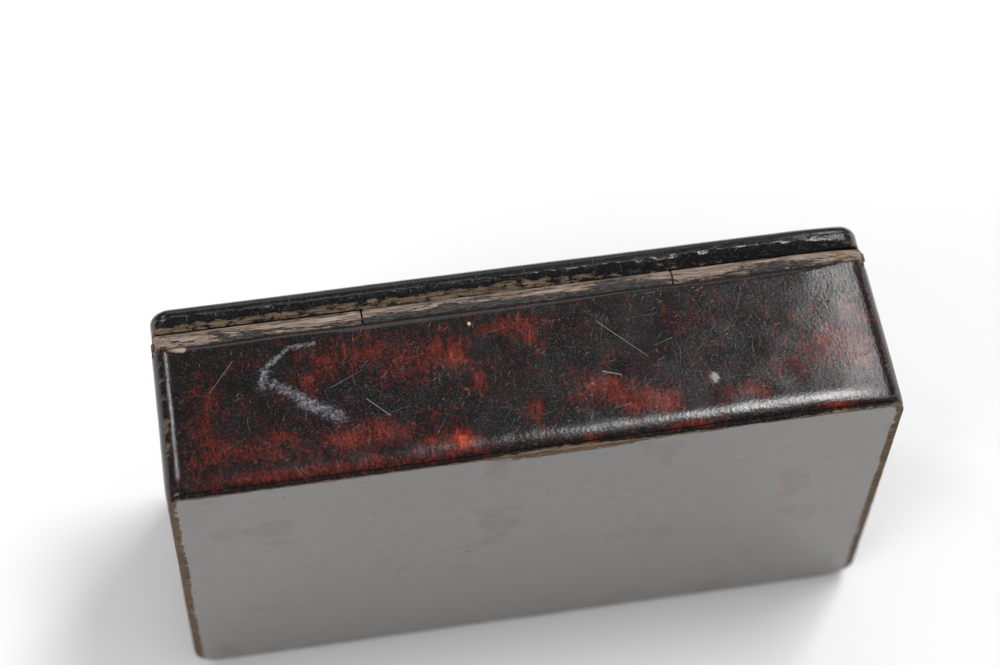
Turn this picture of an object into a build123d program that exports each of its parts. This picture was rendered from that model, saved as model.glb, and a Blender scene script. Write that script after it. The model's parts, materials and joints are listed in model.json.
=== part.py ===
from build123d import *

import os

# A small lacquered rosin box with a lid on an integral three-knuckle hinge, and the cake of
# rosin and its cloth that the box holds.
#
# Frame: origin at the centre of the bottom face, +X along the box, +Y towards the hinge,
# +Z up. The lid is closed. All sizes are in millimetres.

# Outside of the box
LENGTH = 84.0
WIDTH = 48.0
HEIGHT = 24.6
CORNER_RADIUS = 4.0
HINGE_CORNER_RADIUS = 2.3
BOTTOM_EDGE_RADIUS = 1.2

# Boards of the body
WALL = 2.4
BASE_RIM = 0.6  # the edge of the base board that shows below the walls
BASE = 1.8  # the floor inside the walls
WALL_TOP = 20.6

# Lid
LID_UNDERSIDE = 20.8
LID_INSET = 0.2
LID_EDGE_RADIUS = 1.2
LIP_THICKNESS = 1.5
LIP_DEPTH = 2.2
LIP_GAP = 0.25
LIP_BACK_END = 19.3

# Hinge
AXIS_Y = 22.3
AXIS_Z = 20.15
KNUCKLE_RADIUS = 1.35
LID_KNUCKLE_CLEARANCE = 0.15
BODY_KNUCKLE_CLEARANCE = 0.12
PIN_RADIUS = 0.5
PIN_RUNNING_CLEARANCE = 0.05
PIN_HALF_LENGTH = 39.8
LEFT_BREAK = -18.8
RIGHT_BREAK = 17.6
BREAK_GAP = 0.2
SHOULDER_RADIUS = 1.3
SHOULDER_Z = 18.2
BEVEL_START = (22.9, 21.45)
BEVEL_END = (23.8, 22.5)
BODY_TONGUE = (20.4, 17.0)
LID_TONGUE = (18.9, 19.6)

# Contents
CAKE_SIZE = (62.0, 31.0, 12.5)
CAKE_CORNER_RADIUS = 2.5
CAKE_EDGE_RADIUS = 0.8
CAKE_CENTRE_Y = -1.0
CLOTH_FLOOR = 1.8
CLOTH_TOP = 9.0
CLOTH_SIZE = (74.0, 38.0)
CLOTH_CORNER_RADIUS = 4.0
SOFT_GAP = 0.2
GROOVE_RADIUS = 11.0
GROOVE_DEPTH = 1.2

HALF_LENGTH = LENGTH / 2
HALF_WIDTH = WIDTH / 2
INNER_X = HALF_LENGTH - WALL
INNER_Y = HALF_WIDTH - WALL
PAST = 5.0  # how far a cutting shape runs past what it cuts


def rounded_block(length, width, z_low, z_high):
    """Upright block with rounded corners, tighter at the two corners by the hinge."""
    block = Pos(0, 0, (z_low + z_high) / 2) * Box(length, width, z_high - z_low)
    front_corners = block.edges().filter_by(Axis.Z).sort_by(Axis.Y)[:2]
    block = fillet(front_corners, CORNER_RADIUS)
    hinge_corners = block.edges().filter_by(Axis.Z).sort_by(Axis.Y)[-2:]
    return fillet(hinge_corners, HINGE_CORNER_RADIUS)


def bar(section, x_low, x_high):
    """A (Y, Z) section run along X."""
    return extrude(Plane.YZ.offset(x_low) * section, amount=x_high - x_low, dir=(1, 0, 0))


def rectangle(y_low, y_high, z_low, z_high):
    """Rectangular (Y, Z) section."""
    centre = Pos((y_low + y_high) / 2, (z_low + z_high) / 2)
    return centre * Rectangle(y_high - y_low, z_high - z_low)


def hinge_circle(radius):
    """Round (Y, Z) section on the hinge axis."""
    return Pos(AXIS_Y, AXIS_Z) * Circle(radius)


def mitred_wall(outer_corners, inner_corners):
    """One wall board between the rim of the base and the lid, mitred at both ends."""
    plan = Polygon(*outer_corners, *inner_corners, align=None)
    board = extrude(Pos(0, 0, BASE_RIM) * plan, amount=WALL_TOP - BASE_RIM, dir=(0, 0, 1))
    return board & body_outline


def without_hinge_room(wall):
    """Cut the rounded shoulder and the troughs for the knuckles out of a body wall."""
    shoulder = rectangle(HALF_WIDTH - SHOULDER_RADIUS, HALF_WIDTH + PAST,
                         SHOULDER_Z, WALL_TOP + PAST)
    shoulder -= Pos(HALF_WIDTH - SHOULDER_RADIUS, SHOULDER_Z) * Circle(SHOULDER_RADIUS)
    wall -= bar(shoulder, -HALF_LENGTH - PAST, HALF_LENGTH + PAST)
    wall -= bar(hinge_circle(KNUCKLE_RADIUS), -HALF_LENGTH - PAST, HALF_LENGTH + PAST)
    room = hinge_circle(KNUCKLE_RADIUS + LID_KNUCKLE_CLEARANCE)
    return wall - bar(room, LEFT_BREAK, RIGHT_BREAK)


def body_knuckle(x_from, x_to):
    """Outer knuckle with the tongue that is glued to the inside of the back wall."""
    knuckle = bar(hinge_circle(KNUCKLE_RADIUS), min(x_from, x_to), max(x_from, x_to))
    inner_end = max(-INNER_X, min(INNER_X, x_to))
    tongue = rectangle(BODY_TONGUE[0], INNER_Y, BODY_TONGUE[1], AXIS_Z)
    knuckle += bar(tongue, min(x_from, inner_end), max(x_from, inner_end))
    knuckle -= bar(hinge_circle(PIN_RADIUS), -HALF_LENGTH - PAST, HALF_LENGTH + PAST)
    return knuckle & body_outline


def lid_knuckle():
    """Middle knuckle with the tongue that is glued under the lid."""
    x_low = LEFT_BREAK + BREAK_GAP / 2
    x_high = RIGHT_BREAK - BREAK_GAP / 2
    tongue = rectangle(LID_TONGUE[0], AXIS_Y, LID_TONGUE[1], LID_UNDERSIDE)
    knuckle = bar(hinge_circle(KNUCKLE_RADIUS) + tongue, x_low, x_high)
    return knuckle - bar(hinge_circle(PIN_RADIUS + PIN_RUNNING_CLEARANCE), x_low, x_high)


def lid_panel():
    """Lid board with a rounded top edge, and a bevel at the hinge that lets it swing."""
    panel = rounded_block(LENGTH - 2 * LID_INSET, WIDTH - 2 * LID_INSET, LID_UNDERSIDE, HEIGHT)
    panel = fillet(panel.faces().sort_by(Axis.Z)[-1].edges(), LID_EDGE_RADIUS)
    rise = (BEVEL_END[1] - BEVEL_START[1]) / (BEVEL_END[0] - BEVEL_START[0])
    low_y = BEVEL_START[0] - (BEVEL_START[1] - AXIS_Z) / rise
    high_z = BEVEL_END[1] + PAST * rise
    bevel = Polygon((low_y, AXIS_Z), (BEVEL_END[0] + PAST, AXIS_Z),
                    (BEVEL_END[0] + PAST, high_z), align=None)
    panel -= bar(bevel, -HALF_LENGTH - PAST, HALF_LENGTH + PAST)
    panel -= bar(hinge_circle(KNUCKLE_RADIUS), -HALF_LENGTH - PAST, HALF_LENGTH + PAST)
    room = hinge_circle(KNUCKLE_RADIUS + BODY_KNUCKLE_CLEARANCE)
    panel -= bar(room, -HALF_LENGTH - PAST, LEFT_BREAK + BREAK_GAP / 2)
    return panel - bar(room, RIGHT_BREAK - BREAK_GAP / 2, HALF_LENGTH + PAST)


def lip(x_low, x_high, y_low, y_high):
    """One strip of the lip that stands down from the lid into the body."""
    centre = ((x_low + x_high) / 2, (y_low + y_high) / 2, LID_UNDERSIDE - LIP_DEPTH / 2)
    return Pos(*centre) * Box(x_high - x_low, y_high - y_low, LIP_DEPTH)


def contents_block(length, width, z_low, z_high, corner_radius):
    """Upright block with rounded corners in the middle of the box's cavity."""
    plan = Pos(0, CAKE_CENTRE_Y, z_low) * RectangleRounded(length, width, corner_radius)
    return extrude(plan, amount=z_high - z_low)


def rosin_cloth():
    """The folded cloth that the cake is nested in, as a plain tray-shaped solid."""
    tray = contents_block(*CLOTH_SIZE, BASE + SOFT_GAP, CLOTH_TOP, CLOTH_CORNER_RADIUS)
    nest = contents_block(CAKE_SIZE[0] + 2 * SOFT_GAP, CAKE_SIZE[1] + 2 * SOFT_GAP,
                          CAKE_LOW - SOFT_GAP, CLOTH_TOP + PAST,
                          CAKE_CORNER_RADIUS + SOFT_GAP)
    return tray - nest


def rosin_cake():
    """The block of rosin, with the groove that a bow wears along its top."""
    cake_high = CAKE_LOW + CAKE_SIZE[2]
    cake = contents_block(*CAKE_SIZE[:2], CAKE_LOW, cake_high, CAKE_CORNER_RADIUS)
    cake = fillet(cake.faces().sort_by(Axis.Z)[-1].edges(), CAKE_EDGE_RADIUS)
    groove = Pos(CAKE_CENTRE_Y, cake_high - GROOVE_DEPTH + GROOVE_RADIUS) * Circle(GROOVE_RADIUS)
    return cake - bar(groove, -HALF_LENGTH, HALF_LENGTH)


CAKE_LOW = BASE + SOFT_GAP + CLOTH_FLOOR + SOFT_GAP
LIP_X = INNER_X - LIP_GAP
LIP_Y = INNER_Y - LIP_GAP

body_outline = rounded_block(LENGTH, WIDTH, 0, HEIGHT)
body_outline = fillet(body_outline.faces().sort_by(Axis.Z)[0].edges(), BOTTOM_EDGE_RADIUS)

base_rim = Pos(0, 0, BASE_RIM / 2) * Box(LENGTH, WIDTH, BASE_RIM) & body_outline
base_floor = Pos(0, 0, BASE / 2) * Box(2 * INNER_X, 2 * INNER_Y, BASE)
base_panel = base_rim + base_floor

outer = {(sx, sy): (sx * HALF_LENGTH, sy * HALF_WIDTH) for sx in (-1, 1) for sy in (-1, 1)}
inner = {(sx, sy): (sx * INNER_X, sy * INNER_Y) for sx in (-1, 1) for sy in (-1, 1)}


def wall_between(corner_a, corner_b):
    """The wall board between two corners of the plan."""
    return mitred_wall((outer[corner_a], outer[corner_b]), (inner[corner_b], inner[corner_a]))


pin_bore = hinge_circle(PIN_RADIUS)
plugs = [bar(pin_bore, PIN_HALF_LENGTH, HALF_LENGTH) & body_outline,
         bar(pin_bore, -HALF_LENGTH, -PIN_HALF_LENGTH) & body_outline]

nodes = {
    "base_panel": base_panel,
    "front_wall": wall_between((-1, -1), (1, -1)),
    "back_wall": without_hinge_room(wall_between((-1, 1), (1, 1))),
    "left_wall": without_hinge_room(wall_between((-1, -1), (-1, 1))),
    "right_wall": without_hinge_room(wall_between((1, -1), (1, 1))),
    "body_knuckle_left": body_knuckle(LEFT_BREAK - BREAK_GAP / 2, -HALF_LENGTH),
    "body_knuckle_right": body_knuckle(RIGHT_BREAK + BREAK_GAP / 2, HALF_LENGTH),
    "hinge_pin": bar(pin_bore, -PIN_HALF_LENGTH, PIN_HALF_LENGTH),
    "pin_plugs": Compound(children=plugs),
    "lid_panel": lid_panel(),
    "lid_knuckle": lid_knuckle(),
    "lid_lip_front": lip(-LIP_X, LIP_X, -LIP_Y, -LIP_Y + LIP_THICKNESS),
    "lid_lip_left": lip(-LIP_X, -LIP_X + LIP_THICKNESS, -LIP_Y + LIP_THICKNESS, LIP_BACK_END),
    "lid_lip_right": lip(LIP_X - LIP_THICKNESS, LIP_X, -LIP_Y + LIP_THICKNESS, LIP_BACK_END),
    "rosin_cloth": rosin_cloth(),
    "rosin_cake": rosin_cake(),
}

os.makedirs("parts", exist_ok=True)
for name, shape in nodes.items():
    export_step(shape, f"parts/{name}.step")
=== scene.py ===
import json
import math
from functools import reduce

import bmesh
import bpy
import numpy as np
from mathutils import Matrix, Vector, noise


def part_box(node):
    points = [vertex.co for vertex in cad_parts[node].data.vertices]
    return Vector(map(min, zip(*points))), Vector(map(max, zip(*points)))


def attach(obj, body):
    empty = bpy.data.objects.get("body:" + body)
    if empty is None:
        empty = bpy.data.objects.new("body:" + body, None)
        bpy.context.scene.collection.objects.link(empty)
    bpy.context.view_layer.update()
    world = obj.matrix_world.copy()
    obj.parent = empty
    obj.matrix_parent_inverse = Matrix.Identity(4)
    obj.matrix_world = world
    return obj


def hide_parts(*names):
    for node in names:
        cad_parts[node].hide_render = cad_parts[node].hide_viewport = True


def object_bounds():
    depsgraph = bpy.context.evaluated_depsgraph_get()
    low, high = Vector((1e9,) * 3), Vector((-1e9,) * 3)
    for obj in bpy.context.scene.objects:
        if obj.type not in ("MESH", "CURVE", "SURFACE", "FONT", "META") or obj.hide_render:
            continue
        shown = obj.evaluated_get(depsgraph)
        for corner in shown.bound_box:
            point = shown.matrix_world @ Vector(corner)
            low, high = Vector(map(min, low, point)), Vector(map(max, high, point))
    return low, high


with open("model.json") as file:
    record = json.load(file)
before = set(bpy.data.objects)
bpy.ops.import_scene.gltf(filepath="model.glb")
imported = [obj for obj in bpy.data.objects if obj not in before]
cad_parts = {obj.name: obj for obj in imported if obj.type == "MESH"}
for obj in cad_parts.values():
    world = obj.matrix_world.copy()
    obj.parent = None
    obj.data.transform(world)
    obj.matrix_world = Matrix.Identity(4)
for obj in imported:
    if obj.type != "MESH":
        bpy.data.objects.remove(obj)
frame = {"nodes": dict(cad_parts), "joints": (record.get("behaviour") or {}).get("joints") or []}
cad_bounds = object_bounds()

# Sizes, in millimetres, taken from the frame. Blender's own unit here is the metre.
MM = 0.001


def node_box(name):
    """Lowest and highest corner of a CAD node, in millimetres."""
    low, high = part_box(name)
    return low / MM, high / MM


HALF_X, HALF_Y, HEIGHT = cad_bounds[1] / MM
LENGTH = 2 * HALF_X
RIM = node_box("front_wall")[0].z
WALL_TOP = node_box("front_wall")[1].z
FLOOR = node_box("base_panel")[1].z
WALL = node_box("front_wall")[1].y + HALF_Y
LID_LOW = node_box("lid_lip_front")[1].z
LID_TOP = node_box("lid_panel")[1].z
LID_X, LID_Y = node_box("lid_panel")[1].x, node_box("lid_panel")[1].y
AXIS_Y = frame["joints"][0]["pos_m"][1] / MM
AXIS_Z = frame["joints"][0]["pos_m"][2] / MM
KNUCKLE = node_box("body_knuckle_left")[1].z - AXIS_Z
BREAK_LOW, BREAK_HIGH = node_box("lid_knuckle")[0].x, node_box("lid_knuckle")[1].x
PIN = (node_box("hinge_pin")[1].z - node_box("hinge_pin")[0].z) / 2
CAKE_LOW, CAKE_HIGH = node_box("rosin_cake")
CAKE_MIDDLE, CAKE_HALF = (CAKE_LOW + CAKE_HIGH) / 2, (CAKE_HIGH - CAKE_LOW) / 2
CLOTH_LOW, CLOTH_HIGH = node_box("rosin_cloth")

CORNERS = (4.0, 4.0, 2.4, 2.2)  # radii of the plan, anticlockwise from -X, -Y; tighter at the hinge
FOOT_HEIGHT = 3.2  # the walls curve in below this height, more and more towards the bottom face
FOOT_INSET = 0.75
FOOT_POWER = 2.3
SHOULDER_RADIUS = 1.3
SHOULDER_Z = 18.2
BEVEL_START = (22.9, 21.45)
BEVEL_SLOPE = 1.17
FLAKE_START = 23.0  # past here the bevel is flaked


# Mesh helpers
def wave(points, size, seed=0.0):
    """Smooth noise, about -1 to 1, at each point; size is the width of its bumps along x, y, z."""
    scaled = np.asarray(points, float) / np.asarray(size, float) + seed
    return np.array([noise.noise(Vector(p)) for p in scaled.reshape(-1, 3)]).reshape(scaled.shape[:-1])


def smooth_step(low, high, value):
    share = np.clip((value - low) / (high - low), 0.0, 1.0)
    return share * share * (3 - 2 * share)


def place_object(name, data=None):
    """A new object in the scene."""
    thing = bpy.data.objects.new(name, data)
    bpy.context.scene.collection.objects.link(thing)
    return thing


def mesh_of(name, points, faces, scale=1.0):
    """A mesh from points in millimetres."""
    mesh = bpy.data.meshes.new(name)
    mesh.from_pydata((np.asarray(points) * MM * scale).tolist(), [], faces)
    return mesh


def bake(thing):
    """Apply an object's modifiers to its mesh."""
    bpy.context.view_layer.update()
    baked = bpy.data.meshes.new_from_object(thing.evaluated_get(bpy.context.evaluated_depsgraph_get()))
    thing.modifiers.clear()
    thing.data = baked


def add_piece(name, points, faces, body, stands_for, slot, material):
    """A piece from points in millimetres, riding on a CAD body and standing for CAD nodes."""
    mesh = mesh_of(name, points, faces)
    welded = bmesh.new()
    welded.from_mesh(mesh)
    bmesh.ops.remove_doubles(welded, verts=welded.verts, dist=1e-7)
    bmesh.ops.triangulate(welded, faces=[f for f in welded.faces if len(f.verts) > 4])
    bmesh.ops.recalc_face_normals(welded, faces=welded.faces)
    welded.to_mesh(mesh)
    welded.free()
    piece = place_object(name, mesh)
    mesh.shade_smooth()
    mesh.materials.append(material)
    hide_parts(*stands_for)
    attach(piece, body)
    return piece


def sharpen(piece, degrees):
    """Mark edges that turn by more than an angle as sharp, so that flat faces stay flat."""
    piece.data.set_sharp_from_angle(angle=math.radians(degrees))


def point_array(piece):
    points = np.empty(len(piece.data.vertices) * 3)
    piece.data.vertices.foreach_get("co", points)
    return points.reshape(-1, 3) / MM


def add_board(name, points, faces, body, node, material):
    """A lacquered piece with crisp edges that stands for one CAD node."""
    slot = "lacquered_lid" if body == "lid" else "lacquered_body"
    piece = add_piece(name + "_lacquered", points, faces, body, [node], slot, material)
    sharpen(piece, 50)
    return piece


def paint(piece, name, values):
    """Store one number per vertex for a material to read."""
    layer = piece.data.attributes.new(name, "FLOAT", "POINT")
    layer.data.foreach_set("value", np.asarray(values, np.float32))


EASED_LENGTH = 11.0  # the hinge side curves in a little over this length at its -X end
EASED_DEPTH = 0.70


def eased(x, y):
    """How far the hinge side curves in at a place."""
    share = np.clip((EASED_LENGTH - HALF_X - x) / EASED_LENGTH, 0, 1)
    return EASED_DEPTH * share ** 3 * smooth_step(HALF_Y - 4.5, HALF_Y - 1.0, y)


HALF_ARC = 12  # steps in half a corner
SIDE_STEPS = (110, 150, 336, 150)  # steps along the front, right, back and left sides


def arc(centre, radius, angle):
    return np.array(centre) + radius * np.column_stack([np.cos(angle), np.sin(angle)])


def plan_loop(half_x, half_y, corners, inset, side_steps=SIDE_STEPS):
    """Points of a rounded rectangle moved inwards, anticlockwise, from the middle of the -X, -Y corner."""
    narrow = 1 - inset / half_y
    radii = [max(r - inset, 0.25 * r * narrow) for r in corners]
    hx, hy = half_x - inset, half_y - inset
    ways = ((-1, -1), (1, -1), (1, 1), (-1, 1))
    centres = [(way[0] * (hx - r), way[1] * (hy - r)) for way, r in zip(ways, radii)]
    turn = np.linspace(0, math.pi / 4, HALF_ARC + 1)
    loop = []
    for side, steps in enumerate(side_steps):
        facing, following = math.pi / 2 * (side - 1), (side + 1) % 4
        start = arc(centres[side], radii[side], facing - turn[::-1])
        end = arc(centres[following], radii[following], facing + turn[:-1])
        loop += [start, np.linspace(start[-1], end[0], steps + 1)[1:-1], end]
    return np.concatenate(loop)


SIDE_STARTS = np.cumsum([0, *(2 * HALF_ARC + steps for steps in SIDE_STEPS)])  # in a plan loop


def grid_faces(rows, columns, close_rows, close_columns):
    """Quads over a grid of points, rows by columns, joined round where asked."""
    faces = []
    for r in range(rows if close_rows else rows - 1):
        for c in range(columns if close_columns else columns - 1):
            below, beside = (r + 1) % rows, (c + 1) % columns
            faces.append((r * columns + c, r * columns + beside,
                          below * columns + beside, below * columns + c))
    return faces


def closed_rings(grid):
    """Points and faces of a skin whose first and last rings are closed across."""
    rows, width = grid.shape[:2]
    faces = grid_faces(rows, width, False, True)
    faces.append(list(range(width)))
    faces.append([(rows - 1) * width + c for c in reversed(range(width))])
    return grid.reshape(-1, 3), faces


def at_height(plan, z):
    """Points of a plan at one height, or each at its own."""
    return np.column_stack([plan, np.broadcast_to(z, len(plan))])


# Node graphs
class Tree:
    """Short calls for building nodes."""

    def __init__(self, tree):
        self.tree = tree

    def add(self, kind, inputs=None, **settings):
        node = self.tree.nodes.new(kind)
        for key, value in settings.items():
            setattr(node, key, value)
        for key, value in (inputs or {}).items():
            self.set(node.inputs[key], value)
        return node

    def set(self, socket, value):
        if isinstance(value, bpy.types.NodeSocket):
            self.tree.links.new(value, socket)
        elif isinstance(value, tuple) and len(value) == 3 and len(socket.default_value) == 4:
            socket.default_value = (*value, 1.0)
        else:
            socket.default_value = value

    def vector(self, operation, a, b=None, scale=None):
        given = {0: a, 1: b, "Scale": scale}
        inputs = {key: value for key, value in given.items() if value is not None}
        node = self.add("ShaderNodeVectorMath", inputs, operation=operation)
        return node.outputs["Value" if operation in ("LENGTH", "DOT_PRODUCT") else "Vector"]

    def math(self, operation, a, b=0.0, clamp=False):
        return self.add("ShaderNodeMath", {0: a, 1: b}, operation=operation, use_clamp=clamp).outputs[0]

    def plus(self, a, b):
        return self.math("ADD", a, b)

    def minus(self, a, b):
        return self.math("SUBTRACT", a, b)

    def times(self, a, b):
        return self.math("MULTIPLY", a, b)

    def most(self, a, b):
        return self.math("MAXIMUM", a, b)

    def spread(self, noise_value, amount):
        """Noise made to go either side of 0."""
        return self.times(self.minus(noise_value, 0.5), amount)

    def rise(self, value, low, high, to_low=0.0, to_high=1.0):
        """Smooth step of a value from low to high."""
        inputs = {"Value": value, "From Min": low, "From Max": high, "To Min": to_low, "To Max": to_high}
        return self.add("ShaderNodeMapRange", inputs, interpolation_type="SMOOTHSTEP").outputs[0]

    def parts(self, vector):
        """The x, y and z of a vector."""
        return self.add("ShaderNodeSeparateXYZ", {0: vector}).outputs

    def joined(self, x, y):
        return self.add("ShaderNodeCombineXYZ", {0: x, 1: y}).outputs[0]

    def mix(self, share, a, b):
        """Blend of two colours."""
        return self.add("ShaderNodeMix", {0: share, 6: a, 7: b}, data_type="RGBA").outputs[2]

    def pick(self, share, a, b):
        """Blend of two vectors."""
        return self.add("ShaderNodeMix", {0: share, 4: a, 5: b}, data_type="VECTOR").outputs[1]


class Group(Tree):
    """A node group with vector and number inputs and one number as its output."""

    def __init__(self, name, vectors, numbers):
        super().__init__(bpy.data.node_groups.new(name, "ShaderNodeTree"))
        sockets = self.tree.interface
        for labels, kind in ((vectors, "NodeSocketVector"), (numbers, "NodeSocketFloat")):
            for label in labels:
                sockets.new_socket(label, in_out="INPUT", socket_type=kind)
        sockets.new_socket("Result", in_out="OUTPUT", socket_type="NodeSocketFloat")
        self.inputs = self.add("NodeGroupInput").outputs
        self.result = self.add("NodeGroupOutput").inputs[0]


class Graph(Tree):
    """One material: a Principled shader, and short calls for what feeds it."""

    def __init__(self, name):
        self.material = bpy.data.materials.new(name)
        self.material.use_nodes = True
        super().__init__(self.material.node_tree)
        self.tree.nodes.clear()
        output = self.add("ShaderNodeOutputMaterial")
        self.shader = self.add("ShaderNodeBsdfPrincipled")
        self.tree.links.new(self.shader.outputs[0], output.inputs["Surface"])
        coordinates = self.add("ShaderNodeTexCoord")
        self.place = self.vector("SCALE", coordinates.outputs["Object"], scale=1 / MM)
        self.facing = coordinates.outputs["Normal"]

    def cloud(self, size, detail=3.0, roughness=0.55, seed=0.0, warp=0.0):
        """Noise whose bumps have a width, in millimetres, which may differ along x, y and z."""
        size = size if isinstance(size, tuple) else (size, size, size)
        mapping = self.add("ShaderNodeMapping", {"Vector": self.place, "Scale": size,
                                                 "Location": (seed, seed * 0.7, seed * 1.3)},
                           vector_type="TEXTURE")
        inputs = {"Vector": mapping.outputs[0], "Scale": 1.0, "Detail": detail,
                  "Roughness": roughness, "Distortion": warp}
        return self.add("ShaderNodeTexNoise", inputs).outputs[0]

    def group(self, tree, *values):
        """What a node group gives for its inputs, in order."""
        return self.add("ShaderNodeGroup", dict(enumerate(values)), node_tree=tree).outputs[0]

    def attribute(self, name):
        return self.add("ShaderNodeAttribute", attribute_name=name).outputs["Fac"]

    def flat_place(self):
        """Coordinates in the plane of the face: x, z on long sides, x, y above and below, y, z on ends."""
        place = self.parts(self.place)
        turn = self.parts(self.vector("ABSOLUTE", self.facing))
        long_side = self.joined(place[0], place[2])
        level = self.joined(place[0], place[1])
        end = self.joined(place[1], place[2])
        is_level = self.math("GREATER_THAN", turn[2], turn[0])
        is_long = self.math("GREATER_THAN", turn[1], self.most(turn[0], turn[2]))
        return self.pick(is_long, self.pick(is_level, end, level), long_side)

    def hairlines(self, cells, width, seed):
        """Fine scratches of several lengths that run every way and bend a little; 0 to 1."""
        flat = self.flat_place()
        drift = self.add("ShaderNodeTexNoise", {"Vector": flat, "Scale": 0.22, "Detail": 1.0}).outputs[1]
        flat = self.vector("ADD", flat, self.vector("SCALE", drift, scale=1.3))
        lines = (self.group(HAIRLINE, flat, cell, width, seed + 5.7 * i) for i, cell in enumerate(cells))
        return reduce(self.most, lines)

    def mark(self, start, end, width, soft=1.0):
        """A straight mark between two places: 1 on the line, 0 away from it."""
        return self.group(LINE_MARK, self.place, start, end, width, soft)

    def marks(self, strokes):
        """Several marks on the hinge wall, each as (start, end, half width) with x, z ends."""
        return reduce(self.most, (self.mark((a[0], HALF_Y, a[1]), (b[0], HALF_Y, b[1]), width)
                                  for a, b, width in strokes))

    def bump(self, height, distance):
        return self.add("ShaderNodeBump", {"Height": height, "Distance": distance * MM,
                                           "Strength": 1.0}).outputs[0]

    def finish(self, **inputs):
        for key, value in inputs.items():
            self.set(self.shader.inputs[key.replace("_", " ")], value)
        return self.material


def hairline_group():
    """Node group: one straight scratch in each cell of a scattered grid, with its own angle and depth."""
    g = Group("Hairline", ("Place",), ("Cell", "Width", "Seed"))
    place, cell, width, seed = g.inputs[:4]
    moved = g.vector("ADD", place, g.joined(seed, seed))
    scatter = g.add("ShaderNodeTexVoronoi", voronoi_dimensions="2D")
    g.set(scatter.inputs["Vector"], moved)
    g.set(scatter.inputs["Scale"], g.math("DIVIDE", 1.0, cell))
    away = g.parts(g.vector("SUBTRACT", moved, scatter.outputs["Position"]))
    chance = g.parts(scatter.outputs["Color"])
    angle = g.times(chance[0], math.pi)
    sine, cosine = g.math("SINE", angle), g.math("COSINE", angle)
    across = g.minus(g.times(away[0], sine), g.times(away[1], cosine))
    along = g.plus(g.times(away[0], cosine), g.times(away[1], sine))
    reach = g.times(cell, g.plus(0.15, g.times(chance[1], 0.6)))
    taper = g.rise(g.math("ABSOLUTE", along), 0.0, reach, 1.0, 0.0)
    half_width = g.times(width, g.plus(taper, 0.02))
    line = g.rise(g.math("ABSOLUTE", across), 0.0, half_width, 1.0, 0.0)
    g.set(g.result, g.times(g.times(line, taper), g.math("POWER", chance[2], 1.6)))
    return g.tree


def mark_group():
    """Node group: how near a place is to a line between two points."""
    g = Group("LineMark", ("Place", "Start", "End"), ("Width", "Soft"))
    place, start, end, width, soft = g.inputs[:5]
    along = g.vector("SUBTRACT", end, start)
    out = g.vector("SUBTRACT", place, start)
    length_squared = g.vector("DOT_PRODUCT", along, along)
    share = g.math("DIVIDE", g.vector("DOT_PRODUCT", out, along), length_squared, True)
    away = g.vector("LENGTH", g.vector("SUBTRACT", out, g.vector("SCALE", along, scale=share)))
    inner = g.minus(width, g.times(width, soft))
    g.set(g.result, g.rise(away, inner, width, 1.0, 0.0))
    return g.tree


HAIRLINE, LINE_MARK = hairline_group(), mark_group()


# Materials
BLACK = (0.0050, 0.0045, 0.0048)
OXBLOOD = (0.040, 0.0050, 0.0035)
RED = (0.135, 0.017, 0.007)
BRIGHT_RED = (0.50, 0.060, 0.022)
GREY_SCUFF = (0.24, 0.238, 0.232)
BARE_OLIVE = (0.060, 0.046, 0.030)
BARE_BROWN = (0.19, 0.125, 0.080)
CHALK = (0.45, 0.46, 0.52)
DROP_GREY = (0.33, 0.31, 0.29)
SCRATCH_GREY = (0.36, 0.35, 0.35)
BALD_WOOD = (0.29, 0.225, 0.175)
CREAM = (0.45, 0.38, 0.20)
# Paler colour painted on what faces down: partly rubbed wear, partly a painted reflection of the pale table
VEIL_AND_REFLECTION = (0.26, 0.255, 0.25)
PIT = (0.035, 0.028, 0.022)
GRIME = (0.03, 0.024, 0.018)

# Marks on the hinge wall as (start, end, half width), each end as (x, z)
LONG_SCRATCHES = (
    ((-9.0, 15.3), (-14.0, 10.0), 0.07),
    ((-8.5, 8.8), (-10.5, 8.1), 0.13),
    ((-15.0, 11.3), (-17.2, 12.0), 0.06),
    ((18.5, 9.2), (16.2, 6.8), 0.08),
    ((36.0, 12.5), (33.0, 16.2), 0.045),
    ((22.5, 11.2), (18.0, 13.2), 0.04),
)
CHALK_STROKES = (
    ((23.6, 17.2), (26.6, 17.0), 0.8),
    ((26.6, 17.0), (29.4, 14.8), 0.9),
    ((29.6, 14.4), (30.0, 12.6), 1.5),
    ((28.8, 12.6), (24.6, 9.6), 1.7),
    ((25.6, 9.8), (21.8, 7.4), 2.2),
)
DRIED_DROP = ((-21.0, 6.1), (-21.0, 6.3), 1.25)


def mottled(g, red, mottle):
    """Black, oxblood and red, broken up at three sizes."""
    speckle = g.cloud(0.30, roughness=0.75, seed=11.0)
    streak = g.cloud((0.34, 0.34, 1.3), seed=23.0)
    amount = g.plus(red, g.spread(mottle, 2.2))
    amount = g.plus(amount, g.spread(speckle, 2.4))
    amount = g.plus(amount, g.spread(streak, 1.6))
    colour = g.mix(g.rise(amount, 0.0, 0.7), BLACK, OXBLOOD)
    colour = g.mix(g.rise(amount, 0.40, 1.45), colour, RED)
    return g.mix(g.rise(amount, 1.15, 1.95), colour, BRIGHT_RED)


def scratches(g):
    """The deeper hairlines, and all the scuffing with dust in it."""
    deep = g.hairlines((1.0, 2.0, 4.5), 0.028, 3.0)
    fine = g.most(deep, g.hairlines((1.4, 3.0), 0.026, 41.0))
    dust = g.rise(g.cloud(0.14, detail=2.0, roughness=0.8, seed=5.0), 0.56, 0.74)
    zone = g.rise(g.cloud(9.0, detail=2.0, seed=31.0), 0.25, 0.75, 0.45, 1.0)
    scuff = g.times(g.most(fine, g.times(dust, 0.8)), zone)
    return deep, g.most(scuff, g.hairlines((8.0,), 0.030, 61.0))


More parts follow.
